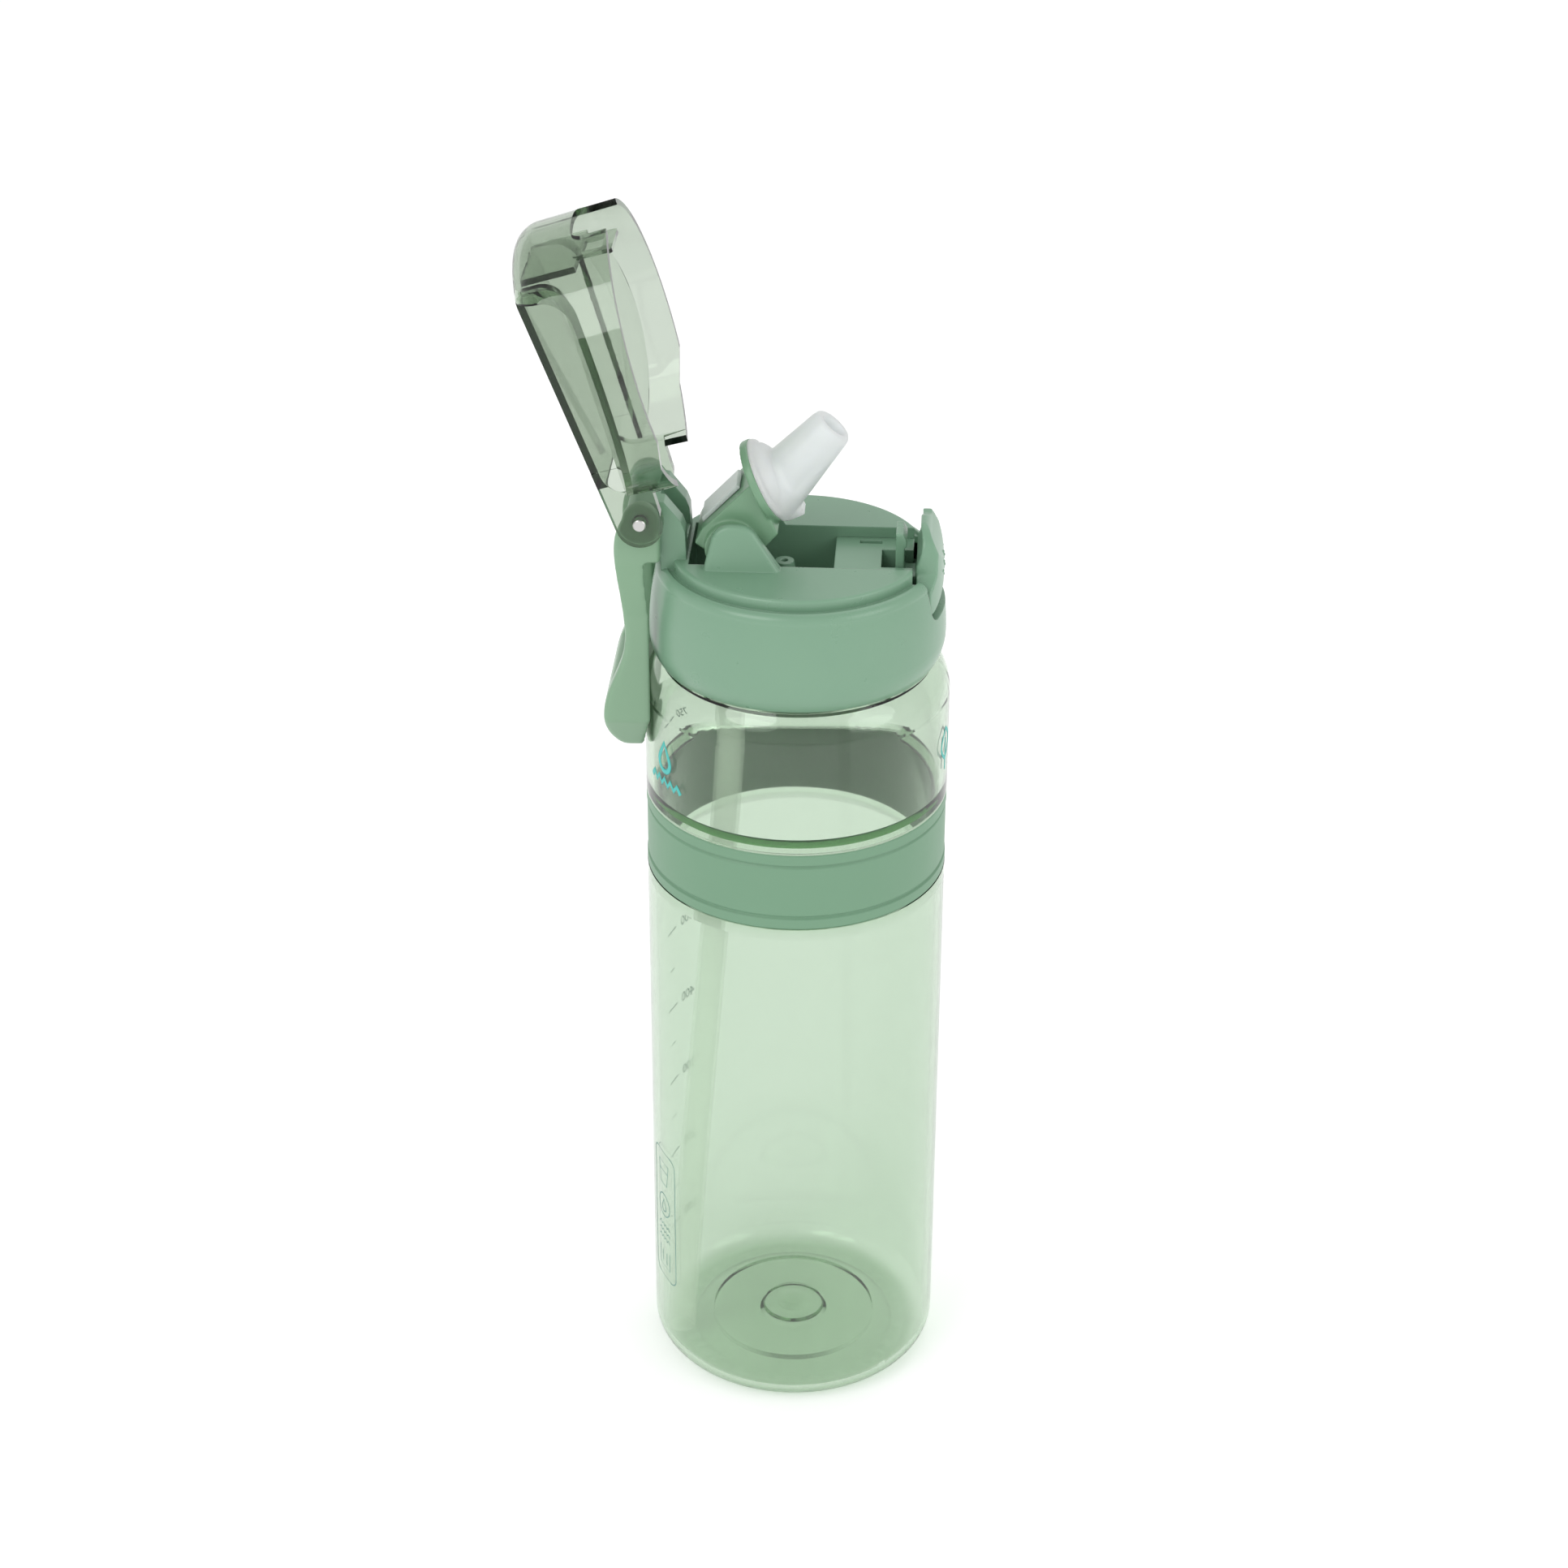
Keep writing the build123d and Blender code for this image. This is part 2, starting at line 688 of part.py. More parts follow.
# ---------- latch lever ----------
with BuildPart() as latch_lever:
    with BuildSketch(Plane.XZ.offset(-latch_half)):
        with BuildLine():
            Spline((30.4, 250.1), (31.0, 247.0), (30.6, 244.0), (29.7, 241.0))
            Polyline((29.7, 241.0), (29.7, 231.0), (31.0, 229.3), (34.4, 229.5))
            Spline((34.4, 229.5), (36.4, 233.5), (36.5, 238.5), (35.9, 242.5), (34.7, 245.6), (33.2, 248.4))
            Spline((33.2, 248.4), (32.5, 249.7), (31.4, 250.5), (30.4, 250.1))
        make_face()
    extrude(amount=2 * latch_half)
    # wide in the cap's notch, then a round-topped tab
    with BuildSketch(Plane.YZ.offset(20)):
        with BuildLine():
            Polyline((-latch_half, 225), (-latch_half, 235.6), (-latch_neck_half, 239.2))
            Line((-latch_neck_half, 239.2), (-latch_neck_half, 243.4))
            Spline(
                (-latch_neck_half, 243.4), (-7.1, 248.7), (0, 250.8), (7.1, 248.7), (latch_neck_half, 243.4),
                tangents=((0, 1), (0, -1)),
            )
            Line((latch_neck_half, 243.4), (latch_neck_half, 239.2))
            Polyline((latch_neck_half, 239.2), (latch_half, 235.6), (latch_half, 225), (-latch_half, 225))
        make_face()
    extrude(amount=20, mode=Mode.INTERSECT)
    # the outer face is round in plan
    with BuildSketch(Plane.XY.offset(220)):
        with Locations((latch_face - latch_plan_radius, 0)):
            Circle(latch_plan_radius)
    extrude(amount=40, mode=Mode.INTERSECT)
    # room for the housing's cheeks
    for side in (1, -1):
        with BuildSketch(Plane.XY.offset(225)):
            with Locations((28, side * 12.5)):
                Rectangle(2 * 3.8, 5.0)
        extrude(amount=9.2, mode=Mode.SUBTRACT)
    # hook arm
    with BuildSketch(Plane.XZ.offset(-hook_half)):
        with BuildLine():
            Polyline(
                (31.0, 236.0),
                (26.6, 236.0),
                (26.6, 243.6),
                (27.15, 243.9),
                (27.15, 245.6),
                (26.2, 247.4),
                (24.4, 247.4),
                (24.4, 232.6),
                (31.0, 232.6),
                close=True,
            )
        make_face()
    extrude(amount=2 * hook_half)
    with Locations(across_bottle(latch_pin_x, latch_pin_height)):
        Cylinder(latch_pin_radius + slip, 60, mode=Mode.SUBTRACT)

# ---------- latch housing in the channel ----------
with BuildPart() as latch_housing:
    with BuildSketch(Plane.XY.offset(floor_top + slip)):
        with Locations((housing_back, 0)):
            Rectangle(housing_front - housing_back, 2 * 12.3, align=(Align.MIN, Align.CENTER))
    extrude(amount=housing_height)
    with BuildSketch(Plane.XY.offset(floor_top + slip)):
        with Locations((housing_back + 1.6, 0)):
            Rectangle(8.6, 2 * 10.7, align=(Align.MIN, Align.CENTER))
    extrude(amount=housing_height - 1.6, mode=Mode.SUBTRACT)
    with BuildSketch(Plane.XY.offset(floor_top)):
        with Locations((20.9, 0)):
            Rectangle(10, 2 * (hook_half + 1.0), align=(Align.MIN, Align.CENTER))
    extrude(amount=20, mode=Mode.SUBTRACT)
    with BuildSketch(Plane.XY.offset(floor_top + housing_height - 0.9)):
        with Locations((18.0, 9.6)):
            Rectangle(5.6, 1.8)
    extrude(amount=5, mode=Mode.SUBTRACT)
    for side in (1, -1):
        with BuildSketch(Plane.XZ.offset(side * 12.3)):
            with BuildLine():
                Polyline((27.8, 228.05), (31.4, 228.05), (31.4, 232.2), (27.8, 233.8), close=True)
            make_face()
        extrude(amount=-side * 2.0)
    with Locations(across_bottle(latch_pin_x, latch_pin_height)):
        Cylinder(latch_pin_radius + 0.02, 60, mode=Mode.SUBTRACT)

# ---------- latch pin and spring ----------
with BuildPart() as latch_pin:
    with Locations(across_bottle(latch_pin_x, latch_pin_height)):
        Cylinder(latch_pin_radius, 2 * 12.2)

with BuildPart() as latch_spring:
    with BuildSketch(Plane.XZ.offset(-3.0)):
        with BuildLine():
            Polyline(
                (28.4, 228.1),
                (21.6, 228.1),
                (21.2, 228.5),
                (21.4, 229.0),
                (27.6, 231.7),
                (27.8, 231.3),
                (22.3, 228.6),
                (28.4, 228.6),
                close=True,
            )
        make_face()
    extrude(amount=2 * 3.0)

# ---------- write one file for each piece ----------
pieces = {
    "bottle_body": bottle_body,
    "grip_band": grip_band,
    "cap_shell": cap_shell,
    "cap_liner": cap_liner,
    "neck_gasket": neck_gasket,
    "straw_adapter": straw_adapter,
    "straw": straw,
    "vent_valve": vent_valve,
    "spout_body": spout_body,
    "spout_mouthpiece": spout_mouthpiece,
    "spout_back_pad": spout_back_pad,
    "spout_seal": spout_seal,
    "hinge_pin": hinge_pin,
    "lid": lid,
    "carry_handle": carry_handle,
    "latch_lever": latch_lever,
    "latch_housing": latch_housing,
    "latch_pin": latch_pin,
    "latch_spring": latch_spring,
}
for name, piece in pieces.items():
    piece.part.label = name
    export_step(piece.part, f"parts/{name}.step")
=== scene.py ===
import math

import bmesh
import bpy
from mathutils import Matrix, Vector


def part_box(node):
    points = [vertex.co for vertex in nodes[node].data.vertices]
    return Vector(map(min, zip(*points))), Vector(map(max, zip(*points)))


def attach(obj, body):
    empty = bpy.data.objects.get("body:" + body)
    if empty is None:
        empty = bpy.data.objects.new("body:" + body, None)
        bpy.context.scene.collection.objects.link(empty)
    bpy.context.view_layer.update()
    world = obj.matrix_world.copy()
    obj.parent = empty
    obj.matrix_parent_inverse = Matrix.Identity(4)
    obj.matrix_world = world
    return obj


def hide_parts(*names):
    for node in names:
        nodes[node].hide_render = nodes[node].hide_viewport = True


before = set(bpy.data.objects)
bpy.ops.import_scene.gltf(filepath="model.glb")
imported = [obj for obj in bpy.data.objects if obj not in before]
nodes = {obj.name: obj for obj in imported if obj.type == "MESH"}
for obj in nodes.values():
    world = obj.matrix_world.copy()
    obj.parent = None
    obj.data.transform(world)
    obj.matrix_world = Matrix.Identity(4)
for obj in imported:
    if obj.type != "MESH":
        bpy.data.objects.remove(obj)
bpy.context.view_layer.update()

# Metres, in the part's frame: the bottle stands on Z = 0, the latch is at +X and the hinge at -X.
MM = 0.001

body_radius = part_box("bottle_body")[1].x


# ---------- helpers for node trees ----------
def link(tree, source, target):
    tree.links.new(source, target)


def new_material(name):
    """A material with a Principled shader, and its tree, shader and output."""
    material = bpy.data.materials.new(name)
    material.use_nodes = True
    tree = material.node_tree
    return material, tree, tree.nodes["Principled BSDF"], tree.nodes["Material Output"]


def object_coordinates(tree):
    return tree.nodes.new("ShaderNodeTexCoord").outputs["Object"]


def moulded_surface_group():
    """The faint mottling and orange peel of an injection-moulded plastic face."""
    group = bpy.data.node_groups.new("Moulded surface", "ShaderNodeTree")
    sockets = group.interface
    for name, kind, value in (
        ("Vector", "NodeSocketVector", None),
        ("Light", "NodeSocketColor", (0.5, 0.5, 0.5, 1)),
        ("Dark", "NodeSocketColor", (0.4, 0.4, 0.4, 1)),
        ("Gloss low", "NodeSocketFloat", 0.35),
        ("Gloss high", "NodeSocketFloat", 0.45),
        ("Grain scale", "NodeSocketFloat", 900.0),
    ):
        socket = sockets.new_socket(name, in_out="INPUT", socket_type=kind)
        if value is not None:
            socket.default_value = value
    sockets.new_socket("Colour", in_out="OUTPUT", socket_type="NodeSocketColor")
    sockets.new_socket("Roughness", in_out="OUTPUT", socket_type="NodeSocketFloat")
    sockets.new_socket("Height", in_out="OUTPUT", socket_type="NodeSocketFloat")
    start = group.nodes.new("NodeGroupInput")
    end = group.nodes.new("NodeGroupOutput")

    mottle = group.nodes.new("ShaderNodeTexNoise")
    mottle.inputs["Scale"].default_value = 45.0
    mottle.inputs["Detail"].default_value = 3.0
    link(group, start.outputs["Vector"], mottle.inputs["Vector"])
    blend = group.nodes.new("ShaderNodeMix")
    blend.data_type = "RGBA"
    link(group, mottle.outputs["Fac"], blend.inputs["Factor"])
    link(group, start.outputs["Light"], blend.inputs["A"])
    link(group, start.outputs["Dark"], blend.inputs["B"])
    link(group, blend.outputs["Result"], end.inputs["Colour"])

    smear = group.nodes.new("ShaderNodeTexNoise")
    smear.inputs["Scale"].default_value = 120.0
    smear.inputs["Detail"].default_value = 4.0
    link(group, start.outputs["Vector"], smear.inputs["Vector"])
    gloss = group.nodes.new("ShaderNodeMapRange")
    link(group, smear.outputs["Fac"], gloss.inputs["Value"])
    link(group, start.outputs["Gloss low"], gloss.inputs["To Min"])
    link(group, start.outputs["Gloss high"], gloss.inputs["To Max"])
    link(group, gloss.outputs["Result"], end.inputs["Roughness"])

    grain = group.nodes.new("ShaderNodeTexNoise")
    grain.inputs["Detail"].default_value = 2.0
    link(group, start.outputs["Vector"], grain.inputs["Vector"])
    link(group, start.outputs["Grain scale"], grain.inputs["Scale"])
    link(group, grain.outputs["Fac"], end.inputs["Height"])
    return group


moulded_surface = moulded_surface_group()


def place_surface(tree, light, dark, gloss, grain_scale):
    surface = tree.nodes.new("ShaderNodeGroup")
    surface.node_tree = moulded_surface
    surface.inputs["Light"].default_value = (*light, 1)
    surface.inputs["Dark"].default_value = (*dark, 1)
    surface.inputs["Gloss low"].default_value = gloss[0]
    surface.inputs["Gloss high"].default_value = gloss[1]
    surface.inputs["Grain scale"].default_value = grain_scale
    link(tree, object_coordinates(tree), surface.inputs["Vector"])
    return surface


def softened_bump(tree, shader, height, strength, distance, edge_radius):
    """The grain as a bump, on normals that turn softly round each moulded edge."""
    bump = tree.nodes.new("ShaderNodeBump")
    bump.inputs["Strength"].default_value = strength
    bump.inputs["Distance"].default_value = distance
    link(tree, height, bump.inputs["Height"])
    if edge_radius:
        soft = tree.nodes.new("ShaderNodeBevel")
        soft.samples = 10
        soft.inputs["Radius"].default_value = edge_radius
        link(tree, soft.outputs["Normal"], bump.inputs["Normal"])
    link(tree, bump.outputs["Normal"], shader.inputs["Normal"])


def opaque_plastic(name, light, dark, gloss=(0.34, 0.44), edge_radius=0.5 * MM):
    material, tree, shader, _ = new_material(name)
    surface = place_surface(tree, light, dark, gloss, 1400.0)
    link(tree, surface.outputs["Colour"], shader.inputs["Base Color"])
    link(tree, surface.outputs["Roughness"], shader.inputs["Roughness"])
    softened_bump(tree, shader, surface.outputs["Height"], 0.25, 0.05 * MM, edge_radius)
    return material


def lets_lamps_through(tree, shader, output, tint):
    """Shadow rays pass with the plastic's tint, so light reaches what is inside."""
    clear = tree.nodes.new("ShaderNodeBsdfTransparent")
    clear.inputs["Color"].default_value = (*tint, 1)
    path = tree.nodes.new("ShaderNodeLightPath")
    mix = tree.nodes.new("ShaderNodeMixShader")
    link(tree, path.outputs["Is Shadow Ray"], mix.inputs["Fac"])
    link(tree, shader.outputs["BSDF"], mix.inputs[1])
    link(tree, clear.outputs["BSDF"], mix.inputs[2])
    link(tree, mix.outputs["Shader"], output.inputs["Surface"])


def clear_plastic(name, tint, absorb, density, gloss=(0.02, 0.05), wave=0.10):
    """Tinted clear plastic that darkens with the length of the light's way through it."""
    material, tree, shader, output = new_material(name)
    surface = place_surface(tree, tint, tint, gloss, 60.0)
    shader.inputs["Base Color"].default_value = (*tint, 1)
    link(tree, surface.outputs["Roughness"], shader.inputs["Roughness"])
    softened_bump(tree, shader, surface.outputs["Height"], wave, 0.2 * MM, 0)
    shader.inputs["Transmission Weight"].default_value = 1.0
    shader.inputs["IOR"].default_value = 1.5
    lets_lamps_through(tree, shader, output, tint)
    volume = tree.nodes.new("ShaderNodeVolumeAbsorption")
    volume.inputs["Color"].default_value = (*absorb, 1)
    volume.inputs["Density"].default_value = density
    link(tree, volume.outputs["Volume"], output.inputs["Volume"])
    return material


def milky_silicone(name, light, dark, gloss=(0.28, 0.36), clearness=0.35, edge_radius=0.4 * MM):
    material, tree, shader, output = new_material(name)
    surface = place_surface(tree, light, dark, gloss, 700.0)
    link(tree, surface.outputs["Colour"], shader.inputs["Base Color"])
    link(tree, surface.outputs["Roughness"], shader.inputs["Roughness"])
    softened_bump(tree, shader, surface.outputs["Height"], 0.15, 0.05 * MM, edge_radius)
    shader.inputs["Transmission Weight"].default_value = clearness
    shader.inputs["IOR"].default_value = 1.41
    shader.inputs["Subsurface Weight"].default_value = 0.55
    shader.inputs["Subsurface Radius"].default_value = (1.0, 1.0, 1.1)
    shader.inputs["Subsurface Scale"].default_value = 4.0 * MM
    return material


def thin_milky_plastic(name, light, dark, cover):
    """A thin translucent tube: part of the light is scattered, the rest goes straight through."""
    material, tree, shader, _ = new_material(name)
    surface = place_surface(tree, light, dark, (0.2, 0.3), 700.0)
    link(tree, surface.outputs["Colour"], shader.inputs["Base Color"])
    link(tree, surface.outputs["Roughness"], shader.inputs["Roughness"])
    softened_bump(tree, shader, surface.outputs["Height"], 0.1, 0.05 * MM, 0)
    shader.inputs["Alpha"].default_value = cover
    return material


def turned_steel(name):
    material, tree, shader, _ = new_material(name)
    surface = place_surface(tree, (0.62, 0.62, 0.60), (0.50, 0.50, 0.49), (0.22, 0.36), 3000.0)
    link(tree, surface.outputs["Colour"], shader.inputs["Base Color"])
    link(tree, surface.outputs["Roughness"], shader.inputs["Roughness"])
    softened_bump(tree, shader, surface.outputs["Height"], 0.2, 0.03 * MM, 0.15 * MM)
    shader.inputs["Metallic"].default_value = 1.0
    return material


def flat_print(name, colour):
    material, tree, shader, _ = new_material(name)
    dark = tuple(part * 0.85 for part in colour)
    surface = place_surface(tree, colour, dark, (0.45, 0.60), 2500.0)
    link(tree, surface.outputs["Colour"], shader.inputs["Base Color"])
    link(tree, surface.outputs["Roughness"], shader.inputs["Roughness"])
    softened_bump(tree, shader, surface.outputs["Height"], 0.2, 0.02 * MM, 0)
    return material


body_clear = clear_plastic("Clear green body", (0.84, 0.88, 0.84), (0.34, 0.61, 0.31), 110.0)
lid_clear = clear_plastic("Smoked green lid", (0.74, 0.78, 0.73), (0.33, 0.50, 0.30), 205.0)
sage_cap = opaque_plastic("Sage cap", (0.185, 0.330, 0.222), (0.172, 0.312, 0.210), (0.24, 0.34))
sage_band = opaque_plastic(
    "Sage rubber band", (0.155, 0.298, 0.188), (0.144, 0.283, 0.176), (0.40, 0.50)
)
sage_handle = opaque_plastic(
    "Sage handle", (0.210, 0.350, 0.226), (0.198, 0.334, 0.214), (0.26, 0.36)
)
sage_spout = opaque_plastic(
    "Sage spout", (0.180, 0.330, 0.205), (0.168, 0.312, 0.194), (0.26, 0.36)
)
mouth_silicone = milky_silicone(
    "Milky mouthpiece", (0.93, 0.95, 0.94), (0.84, 0.89, 0.90), clearness=0.4
)
# painted shade: the pad is a real piece, but its grey stands for the shade on the back of the white
# mouthpiece silicone
shade_grey_silicone = milky_silicone(
    "Grey silicone pad, painted shade", (0.62, 0.66, 0.66), (0.58, 0.62, 0.62), clearness=0.0
)
seal_silicone = milky_silicone(
    "White silicone seal", (0.80, 0.82, 0.80), (0.76, 0.79, 0.77), clearness=0.0
)
straw_plastic = thin_milky_plastic("Milky straw", (0.97, 1.0, 0.94), (0.95, 0.99, 0.92), 0.22)
liner_plastic = milky_silicone(
    "Milky liner", (0.70, 0.76, 0.72), (0.66, 0.73, 0.69), clearness=0.0
)
pin_steel = turned_steel("Turned steel")

node_materials = {
    "bottle_body": body_clear,
    "grip_band": sage_band,
    "cap_shell": sage_cap,
    "cap_liner": liner_plastic,
    "neck_gasket": seal_silicone,
    "straw_adapter": liner_plastic,
    "straw": straw_plastic,
    "vent_valve": seal_silicone,
    "spout_body": sage_spout,
    "spout_mouthpiece": mouth_silicone,
    "spout_back_pad": shade_grey_silicone,
    "spout_seal": seal_silicone,
    "hinge_pin": pin_steel,
    "lid": lid_clear,
    "carry_handle": sage_handle,
    "latch_lever": sage_cap,
    "latch_housing": sage_cap,
    "latch_pin": pin_steel,
    "latch_spring": pin_steel,
}
for name, material in node_materials.items():
    for material_slot in nodes[name].material_slots:
        material_slot.material = material


# ---------- new pieces ----------
def new_piece(name, mesh, material, body):
    """A finished piece at the origin, shaded smooth, riding on its body."""
    piece = bpy.data.objects.new(name, mesh)
    bpy.context.scene.collection.objects.link(piece)
    mesh.materials.clear()
    mesh.materials.append(material)
    for face in mesh.polygons:
        face.use_smooth = True
    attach(piece, body)
    return piece


def evaluated_mesh(holder):
    """The mesh that an object's modifiers or curve settings make. The object is then removed."""
    bpy.context.scene.collection.objects.link(holder)
    bpy.context.view_layer.update()
    depsgraph = bpy.context.evaluated_depsgraph_get()
    mesh = bpy.data.meshes.new_from_object(holder.evaluated_get(depsgraph))
    bpy.data.objects.remove(holder)
    return mesh


def fused(mesh, grain, rounds):
    """The mesh as one even skin, with its corners rounded."""
    helper = bpy.data.objects.new("helper", mesh)
    skin = helper.modifiers.new("skin", "REMESH")
    skin.mode = "VOXEL"
    skin.voxel_size = grain
    soft = helper.modifiers.new("soft", "SMOOTH")
    soft.factor = 0.5
    soft.iterations = rounds
    return evaluated_mesh(helper)


def softened(name, node, material, body, grain, rounds):
    """A moulded piece with the small radius that its tool leaves on every edge."""
    copy = nodes[node].data.copy()
    shape = bmesh.new()
    shape.from_mesh(copy)
    bmesh.ops.remove_doubles(shape, verts=shape.verts, dist=0.001 * MM)
    shape.to_mesh(copy)
    shape.free()
    piece = new_piece(name, fused(copy, grain, rounds), material, body)
    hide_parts(node)
    return piece


softened("moulded_handle", "carry_handle", sage_handle, "handle", 0.45 * MM, 26)
softened("moulded_latch", "latch_lever", sage_cap, "latch", 0.26 * MM, 8)
softened("moulded_spout", "spout_body", sage_spout, "spout", 0.28 * MM, 5)


# ---------- silicone mouthpiece ----------
# the spout's hub and its flange, where the CAD has them at rest
spout_rise = 49.7
spout_pivot = Vector((-16.0, 0.0, 245.5)) * MM
spout_lean = math.radians(90 - spout_rise)
along_spout = Matrix.Translation(spout_pivot) @ Matrix.Rotation(spout_lean, 4, "Y")
flange_centre = Vector((-8.05, 0.0, 259.55)) * MM
flange_lean = math.atan2(0.893, 0.449)
on_flange = Matrix.Translation(flange_centre) @ Matrix.Rotation(flange_lean, 4, "Y")


def lathe(shape, profile, place, steps=64):
    """Turns a closed outline of (radius, height) in millimetres about its own Z."""
    points = [shape.verts.new((radius * MM, 0, height * MM)) for radius, height in profile]
    edges = [shape.edges.new(pair) for pair in zip(points, points[1:] + points[:1])]
    bmesh.ops.spin(
        shape, geom=points + edges, cent=(0, 0, 0), axis=(0, 0, 1),
        angle=2 * math.pi, steps=steps, use_merge=True,
    )
    turned = [vert for vert in shape.verts if not vert.tag]
    bmesh.ops.transform(shape, matrix=place, verts=turned)
    for vert in turned:
        vert.tag = True


def tapered(root, tip, start, end, height):
    """The radius at a height, on a straight taper from root to tip."""
    return root + (tip - root) * (height - start) / (end - start)


def silicone_mouthpiece():
    """The nozzle, its flange, the dome on the flange and the vent foot, as one skin."""
    shape = bmesh.new()
    start, end, root, tip, bore = 12.0, 38.2, 8.2, 5.3, 2.9
    outline = [(bore, start)]
    for height in (12.0, 18.0, 24.0, 30.0, 36.4):
        outline.append((tapered(root, tip, start, end, height), height))
    outline += [(5.25, 37.4), (4.75, 38.05), (4.1, 38.2), (3.5, 38.1), (3.05, 37.6), (bore, 36.6)]
    lathe(shape, outline, along_spout)
    flange = [(0.4, -1.5), (10.9, -1.5), (11.1, 0.4), (10.8, 1.1), (10.0, 1.3), (0.4, 1.3)]
    lathe(shape, flange, on_flange @ Matrix.Diagonal((0.955, 1.0, 1.0, 1.0)))
    dome = bmesh.ops.create_uvsphere(shape, u_segments=48, v_segments=24, radius=1.0)["verts"]
    dome_place = on_flange @ Matrix.Translation((-0.5 * MM, 0, 0))
    dome_size = Matrix.Diagonal((9.3 * MM, 9.6 * MM, 5.6 * MM, 1.0))
    bmesh.ops.transform(shape, matrix=dome_place @ dome_size, verts=dome)
    foot = bmesh.ops.create_cube(shape, size=1.0)["verts"]
    foot_centre = Vector((-1.25, 0.0, 252.6)) * MM
    foot_place = Matrix.Translation(foot_centre) @ Matrix.Rotation(flange_lean, 4, "Y")
    foot_size = Matrix.Diagonal((4.4 * MM, 6.4 * MM, 4.6 * MM, 1.0))
    bmesh.ops.transform(shape, matrix=foot_place @ foot_size, verts=foot)
    mesh = bpy.data.meshes.new("silicone_mouthpiece")
    shape.to_mesh(mesh)
    shape.free()
    skin = fused(mesh, 0.28 * MM, 10)
    # only the outer side is kept, cut flat where the silicone lies on the spout
    shape = bmesh.new()
    shape.from_mesh(skin)
    outward = on_flange.to_3x3() @ Vector((0, 0, 1))
    everything = list(shape.verts) + list(shape.edges) + list(shape.faces)
    cut = bmesh.ops.bisect_plane(
        shape, geom=everything, plane_co=flange_centre + outward * 0.02 * MM,
        plane_no=outward, clear_inner=True,
    )["geom_cut"]
    rim = [part for part in cut if isinstance(part, bmesh.types.BMEdge)]
    bmesh.ops.contextual_create(shape, geom=rim)
    shape.to_mesh(skin)
    shape.free()
    piece = new_piece("silicone_mouthpiece", skin, mouth_silicone, "spout")
    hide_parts("spout_mouthpiece")


silicone_mouthpiece()


# ---------- prints on the body ----------
print_lift = 0.03 * MM
print_flatness = 0.15


def wrapped(mesh, middle_angle, middle_height):
    """Bends a flat drawing, in metres with +X to the right, onto the outside of the body."""
    for vert in mesh.vertices:
        across, up, out = vert.co
        angle = middle_angle + across / body_radius
        reach = body_radius + print_lift + out * print_flatness
        vert.co = (reach * math.cos(angle), reach * math.sin(angle), middle_height + up)
    return mesh


def mesh_of(curve):
    return evaluated_mesh(bpy.data.objects.new("drawing", curve))


def line_drawing(lines, width):
    """Thin lines through points in millimetres; a line is closed where it ends at its start."""
    curve = bpy.data.curves.new("lines", "CURVE")
    curve.dimensions = "3D"
    curve.bevel_depth = width * MM / 2
    curve.bevel_resolution = 1
    curve.use_fill_caps = True
    for points in lines:
        closed = points[0] == points[-1]
        kept = points[:-1] if closed else points
        spline = curve.splines.new("POLY")
        spline.points.add(len(kept) - 1)
        for point, (x, y) in zip(spline.points, kept):
            point.co = (x * MM, y * MM, 0, 1)
        spline.use_cyclic_u = closed
    return mesh_of(curve)


def numeral(text, height):
    curve = bpy.data.curves.new("numeral", "FONT")
    curve.body = text
    curve.size = height * MM
    curve.align_x = "CENTER"
    curve.align_y = "CENTER"
    curve.extrude = 0.1 * MM
    curve.resolution_u = 3
    return mesh_of(curve)


def joined(meshes):
    """Several meshes as one."""
    shape = bmesh.new()
    for mesh in meshes:
        shape.from_mesh(mesh)
    result = bpy.data.meshes.new("print")
    shape.to_mesh(result)
    shape.free()
    return result


def ring_points(x, y, radius_x, radius_y, start=0.0, sweep=360.0, count=24):
    angles = [math.radians(start + sweep * step / count) for step in range(count + 1)]
    points = [(x + radius_x * math.cos(angle), y + radius_y * math.sin(angle)) for angle in angles]
    if sweep == 360.0:
        points[-1] = points[0]
    return points


def rounded_frame(half_width, half_height, radius):
    corners = ((1, 1, 0), (-1, 1, 90), (-1, -1, 180), (1, -1, 270))
    points = []
    for side, end, start in corners:
        x, y = side * (half_width - radius), end * (half_height - radius)
        points += ring_points(x, y, radius, radius, start, 90.0, 6)
    return points + points[:1]


def drop_outline(x, y, size):
    """A water drop: a point at the top and a round bottom."""
    bowl = ring_points(x, y, size, size, 150.0, 240.0, 18)
    return [(x, y + 2.1 * size)] + bowl + [(x, y + 2.1 * size)]


care_lines = [
    rounded_frame(6.6, 21.0, 2.6),
    # a cup
    [(-3.0, 17.5), (3.0, 17.5), (2.0, 10.5), (-2.0, 10.5), (-3.0, 17.5)],
    [(-2.6, 14.8), (2.6, 14.8)],
    # a drop in a ring
    ring_points(0, 3.4, 3.6, 3.6),
    drop_outline(0, 2.6, 1.3),
    # three waves
    *[
        [(-3.4 + step * 0.85, level + (0.5 if step % 2 else -0.5)) for step in range(9)]
        for level in (-3.4, -5.6, -7.8)
    ],
    # a tray with its rack
    [(-3.2, -11.6), (-3.2, -17.6), (3.2, -17.6), (3.2, -11.6)],
    [(-1.4, -12.4), (-1.4, -16.2)],
    [(1.4, -12.4), (1.4, -16.2)],
]
care_angle, care_height, care_pen = math.radians(180 + 27), 47.0 * MM, 0.34
care_mesh = wrapped(line_drawing(care_lines, care_pen), care_angle, care_height)

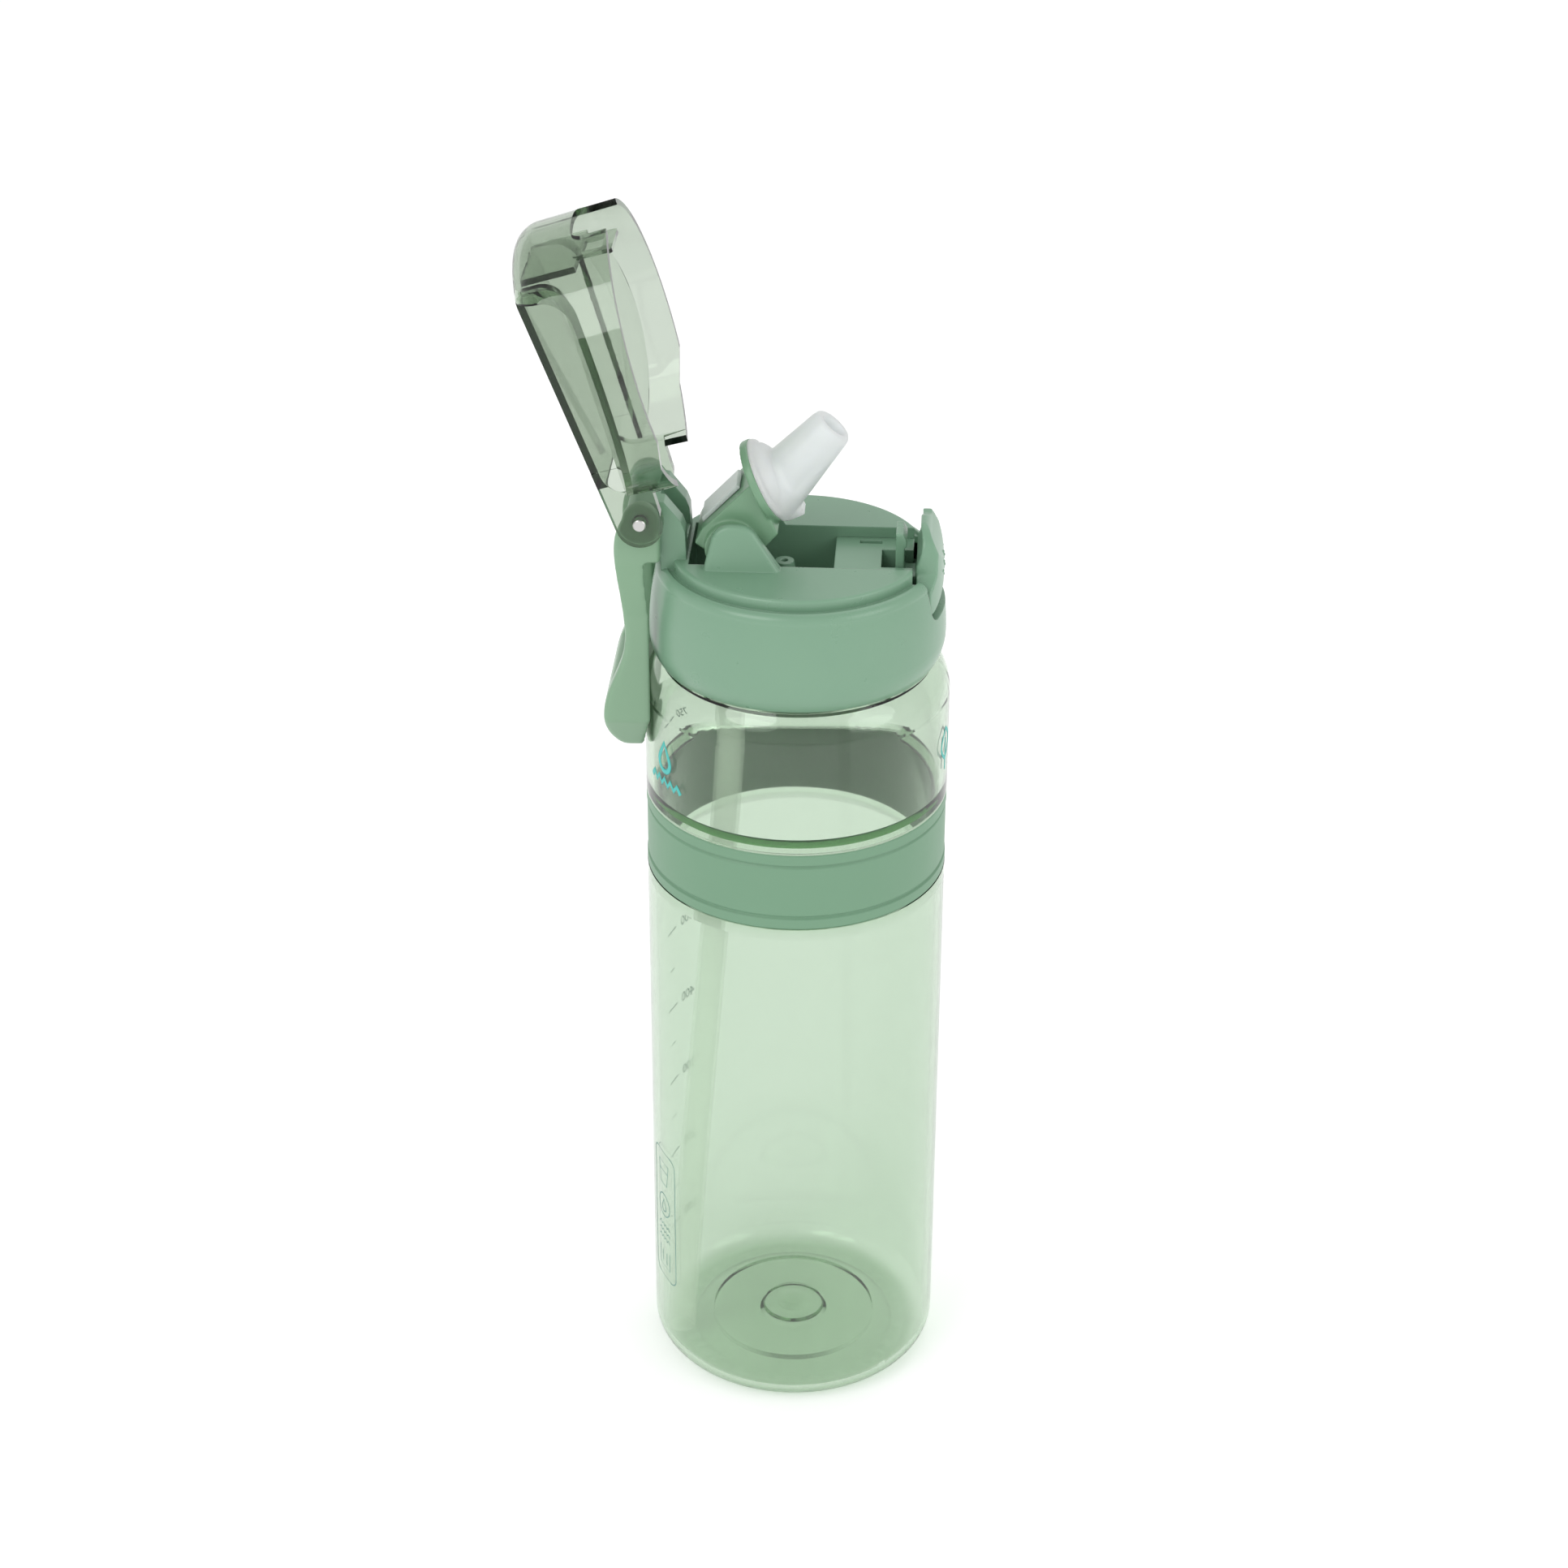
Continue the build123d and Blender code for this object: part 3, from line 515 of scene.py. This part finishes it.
# a drop over a wave
mark_angle, mark_height, mark_pen = math.radians(180 + 34), 190.0 * MM, 1.5
mark_lines = [[(-7.0 + step * 1.4, -4.6 + (0.9 if step % 2 else -0.9)) for step in range(11)]]
mark_mesh = joined([
    wrapped(line_drawing([drop_outline(0.0, 1.0, 2.6)], mark_pen), mark_angle, mark_height),
    wrapped(line_drawing(mark_lines, mark_pen), mark_angle, mark_height),
])

tick_angle = math.radians(180 - 20)
label_angle = tick_angle - math.radians(13)
last_even_mark, half_mark_rise = 600, 12.2
# The numbers are guessed, in millilitres. The heights are in millimetres: those of 300, 400, 500
# and 750 stand where the photo shows ticks, and the others continue the same spacing.
fill_marks = {100: 22.4, 200: 46.8, 300: 71.1, 400: 95.1, 500: 119.7, 600: 144.0, 750: 183.8}
tick_meshes = []
for amount, height in fill_marks.items():
    tick = line_drawing([[(-3.0, 0.0), (3.0, 0.0)]], 0.45)
    tick_meshes.append(wrapped(tick, tick_angle, height * MM))
    tick_meshes.append(wrapped(numeral(str(amount), 4.2), label_angle, height * MM))
    if amount < last_even_mark:
        half_tick = line_drawing([[(-1.6, 0.0), (1.6, 0.0)]], 0.35)
        tick_meshes.append(wrapped(half_tick, tick_angle, (height + half_mark_rise) * MM))

# two leaf edges and a stalk
emblem_angle, emblem_height, emblem_pen = math.radians(-12), 191.0 * MM, 0.9
emblem_lines = []
for turn in (-1, 1):
    leaf = [(turn * 3.6 * math.sin(math.pi * step / 12), -4.0 + step * 0.75) for step in range(13)]
    emblem_lines.append(leaf)
emblem_lines.append([(0.0, -7.0), (0.0, 2.0)])
emblem_mesh = wrapped(line_drawing(emblem_lines, emblem_pen), emblem_angle, emblem_height)

turquoise_ink = flat_print("Turquoise ink", (0.07, 0.50, 0.46))
grey_ink = flat_print("Grey-green ink", (0.16, 0.30, 0.28))
new_piece("care_marks", care_mesh, grey_ink, "bottle")
new_piece("drop_mark", mark_mesh, turquoise_ink, "bottle")
new_piece("fill_scale", joined(tick_meshes), grey_ink, "bottle")
new_piece("leaf_emblem", emblem_mesh, turquoise_ink, "bottle")


# ---------- grip dots on the latch ----------
def latch_dots():
    """Dots in a chequered field of five rows, on the latch's curved and hollowed face."""
    shape = bmesh.new()
    # millimetres
    face_reach, plan_radius = 36.5, 30.0
    column_step, row_step, lowest_row = 2.0, 1.7, 234.4
    dot_radius, dot_sink = 0.55, 0.15
    hollow_depth, hollow_middle, hollow_half = 0.35, 237.8, 3.4
    for row in range(5):
        for column in range(-2, 3):
            if (row + column) % 2:
                continue
            across = column * column_step
            out = face_reach - plan_radius + math.sqrt(plan_radius ** 2 - across ** 2)
            height = lowest_row + row * row_step
            slope = hollow_depth * ((height - hollow_middle) / hollow_half) ** 2
            centre = Vector((out - dot_sink - slope, across, height)) * MM
            dot = bmesh.ops.create_icosphere(shape, subdivisions=2, radius=dot_radius * MM)["verts"]
            bmesh.ops.translate(shape, verts=dot, vec=centre)
    mesh = bpy.data.meshes.new("latch_dots")
    shape.to_mesh(mesh)
    shape.free()
    new_piece("latch_dots", mesh, sage_cap, "latch")


latch_dots()


# ---------- studio ----------
def studio():
    bpy.context.scene.view_settings.view_transform = "Standard"
    world = bpy.data.worlds.new("Studio")
    bpy.context.scene.world = world
    world.use_nodes = True
    tree = world.node_tree
    background = tree.nodes["Background"]
    background.inputs["Color"].default_value = (1.0, 1.0, 1.0, 1)
    # a white room with a dimmer ceiling
    split = tree.nodes.new("ShaderNodeSeparateXYZ")
    link(tree, tree.nodes.new("ShaderNodeTexCoord").outputs["Generated"], split.inputs["Vector"])
    ceiling = tree.nodes.new("ShaderNodeMapRange")
    ceiling.inputs["From Min"].default_value = 0.2
    ceiling.inputs["From Max"].default_value = 0.9
    ceiling.inputs["To Min"].default_value = 1.0
    ceiling.inputs["To Max"].default_value = 0.6
    link(tree, split.outputs["Z"], ceiling.inputs["Value"])
    link(tree, ceiling.outputs["Result"], background.inputs["Strength"])

    mesh = bpy.data.meshes.new("floor")
    shape = bmesh.new()
    bmesh.ops.create_circle(shape, cap_ends=True, segments=96, radius=6.0)
    shape.to_mesh(mesh)
    shape.free()
    floor = bpy.data.objects.new("floor", mesh)
    bpy.context.scene.collection.objects.link(floor)
    material, tree, shader, _ = new_material("Pale floor")
    shader.inputs["Base Color"].default_value = (0.93, 0.93, 0.93, 1)
    shader.inputs["Roughness"].default_value = 0.9
    shader.inputs["Emission Color"].default_value = (1.0, 1.0, 1.0, 1)
    shader.inputs["Emission Strength"].default_value = 0.22
    mesh.materials.append(material)

    # places and sizes in metres, power in watts
    lamp_target = Vector((0, 0, 0.17))
    for name, place, size, power in (
        ("key", (-0.9, -1.1, 1.5), 1.2, 11.0),
        ("fill", (1.2, -0.6, 0.9), 1.0, 4.0),
        ("back", (0.3, 0.9, 1.7), 1.2, 3.0),
    ):
        lamp = bpy.data.lights.new(name, "AREA")
        lamp.shape = "DISK"
        lamp.size = size
        lamp.energy = power
        holder = bpy.data.objects.new(name, lamp)
        bpy.context.scene.collection.objects.link(holder)
        holder.location = place
        aim = lamp_target - Vector(place)
        holder.rotation_euler = aim.to_track_quat("-Z", "Y").to_euler()


def photographer():
    """The camera, with the lens, place and tilt that match the photo's view."""
    data = bpy.data.cameras.new("camera")
    data.sensor_width = 36.0
    data.lens = 74.45
    camera = bpy.data.objects.new("camera", data)
    bpy.context.scene.collection.objects.link(camera)
    tilt = Matrix.Rotation(math.radians(60.901), 4, "X")
    turn = Matrix.Rotation(math.radians(3.0), 4, "Z")
    roll = Matrix.Rotation(math.radians(0.243), 4, "Z")
    place = Matrix.Translation((0.03524, -0.7352, 0.5833))
    camera.matrix_world = place @ turn @ tilt @ roll
    bpy.context.scene.camera = camera


studio()
photographer()
